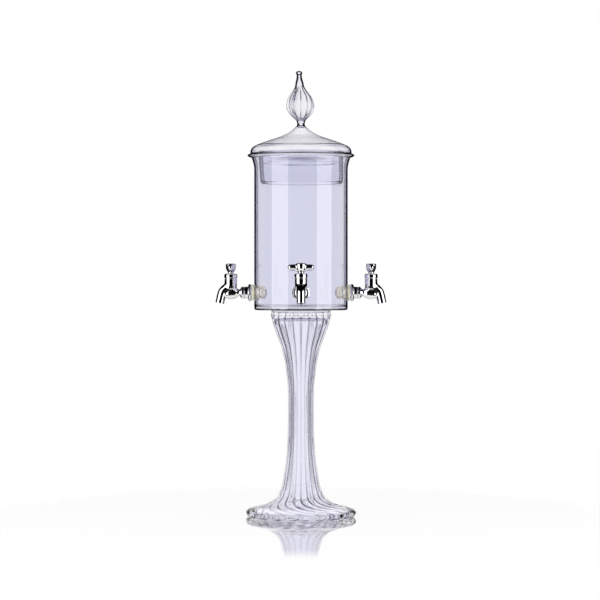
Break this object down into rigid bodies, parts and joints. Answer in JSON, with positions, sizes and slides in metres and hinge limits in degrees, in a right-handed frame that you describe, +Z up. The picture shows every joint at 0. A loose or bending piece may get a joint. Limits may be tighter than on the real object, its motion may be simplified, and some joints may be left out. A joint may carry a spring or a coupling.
{
  "type": "absinthe fountain",
  "caption": "Tall clear glass drinks fountain: reeded pedestal, straight reservoir, loose lid with a reeded finial, and chrome screw-down drip taps round its base.",
  "frame": {"origin": "middle of the foot's underside, on the table", "axes": "+Z up the pedestal's axis, -Y towards the first tap, +X towards the second"},
  "size_m": [0.2134, 0.2134, 0.557],
  "materials": {
    "clear_glass": "clear, faintly violet, fire-polished",
    "clear_bond": "clear cured adhesive",
    "tap_chrome": "bright plated",
    "spindle_brass": "turned",
    "seal_rubber": "matt",
    "washer_silicone": "cream, slightly translucent",
    "nut_plastic": "cream nylon"
  },
  "bodies": {
    "fountain": {"reservoir": "clear_glass", "pedestal": "clear_glass", "joint_disc": "clear_bond", "front_tap_body": "tap_chrome", "front_outer_washer": "washer_silicone", "front_inner_washer": "washer_silicone", "front_lock_nut": "nut_plastic", "front_bonnet_nut": "tap_chrome", "front_o_ring": "seal_rubber", "right_tap_body": "tap_chrome", "right_outer_washer": "washer_silicone", "right_inner_washer": "washer_silicone", "right_lock_nut": "nut_plastic", "right_bonnet_nut": "tap_chrome", "right_o_ring": "seal_rubber", "back_tap_body": "tap_chrome", "back_outer_washer": "washer_silicone", "back_inner_washer": "washer_silicone", "back_lock_nut": "nut_plastic", "back_bonnet_nut": "tap_chrome", "back_o_ring": "seal_rubber", "left_tap_body": "tap_chrome", "left_outer_washer": "washer_silicone", "left_inner_washer": "washer_silicone", "left_lock_nut": "nut_plastic", "left_bonnet_nut": "tap_chrome", "left_o_ring": "seal_rubber"},
    "lid": {"lid": "clear_glass", "finial": "clear_glass"},
    "front_valve": {"front_valve_washer": "seal_rubber"},
    "front_handle": {"front_spindle": "spindle_brass", "front_handle": "tap_chrome", "front_handle_screw": "tap_chrome"},
    "right_valve": {"right_valve_washer": "seal_rubber"},
    "right_handle": {"right_spindle": "spindle_brass", "right_handle": "tap_chrome", "right_handle_screw": "tap_chrome"},
    "back_valve": {"back_valve_washer": "seal_rubber"},
    "back_handle": {"back_spindle": "spindle_brass", "back_handle": "tap_chrome", "back_handle_screw": "tap_chrome"},
    "left_valve": {"left_valve_washer": "seal_rubber"},
    "left_handle": {"left_spindle": "spindle_brass", "left_handle": "tap_chrome", "left_handle_screw": "tap_chrome"}
  },
  "joints": [
    {"name": "lid_lift", "type": "slide", "parent": "fountain", "child": "lid", "axis": [0, 0, 1], "range_m": [0, 0.12]},
    {"name": "front_lift", "type": "slide", "parent": "fountain", "child": "front_valve", "axis": [0, 0, 1], "range_m": [0, 0.00075]},
    {"name": "front_turn", "type": "hinge", "parent": "front_valve", "child": "front_handle", "pos_m": [0, -0.0877, 0.3115], "axis": [0, 0, 1], "range_deg": [0, 270]},
    {"name": "right_lift", "type": "slide", "parent": "fountain", "child": "right_valve", "axis": [0, 0, 1], "range_m": [0, 0.00075]},
    {"name": "right_turn", "type": "hinge", "parent": "right_valve", "child": "right_handle", "pos_m": [0.0877, 0, 0.3115], "axis": [0, 0, 1], "range_deg": [0, 270]},
    {"name": "back_lift", "type": "slide", "parent": "fountain", "child": "back_valve", "axis": [0, 0, 1], "range_m": [0, 0.00075]},
    {"name": "back_turn", "type": "hinge", "parent": "back_valve", "child": "back_handle", "pos_m": [0, 0.0877, 0.3115], "axis": [0, 0, 1], "range_deg": [0, 270]},
    {"name": "left_lift", "type": "slide", "parent": "fountain", "child": "left_valve", "axis": [0, 0, 1], "range_m": [0, 0.00075]},
    {"name": "left_turn", "type": "hinge", "parent": "left_valve", "child": "left_handle", "pos_m": [-0.0877, 0, 0.3115], "axis": [0, 0, 1], "range_deg": [0, 270]}
  ],
  "couplings": [
    {"joint": "front_turn", "follows": "front_lift", "rad_per_m": 6283.1},
    {"joint": "right_turn", "follows": "right_lift", "rad_per_m": 6283.1},
    {"joint": "back_turn", "follows": "back_lift", "rad_per_m": 6283.1},
    {"joint": "left_turn", "follows": "left_lift", "rad_per_m": 6283.1}
  ]
}
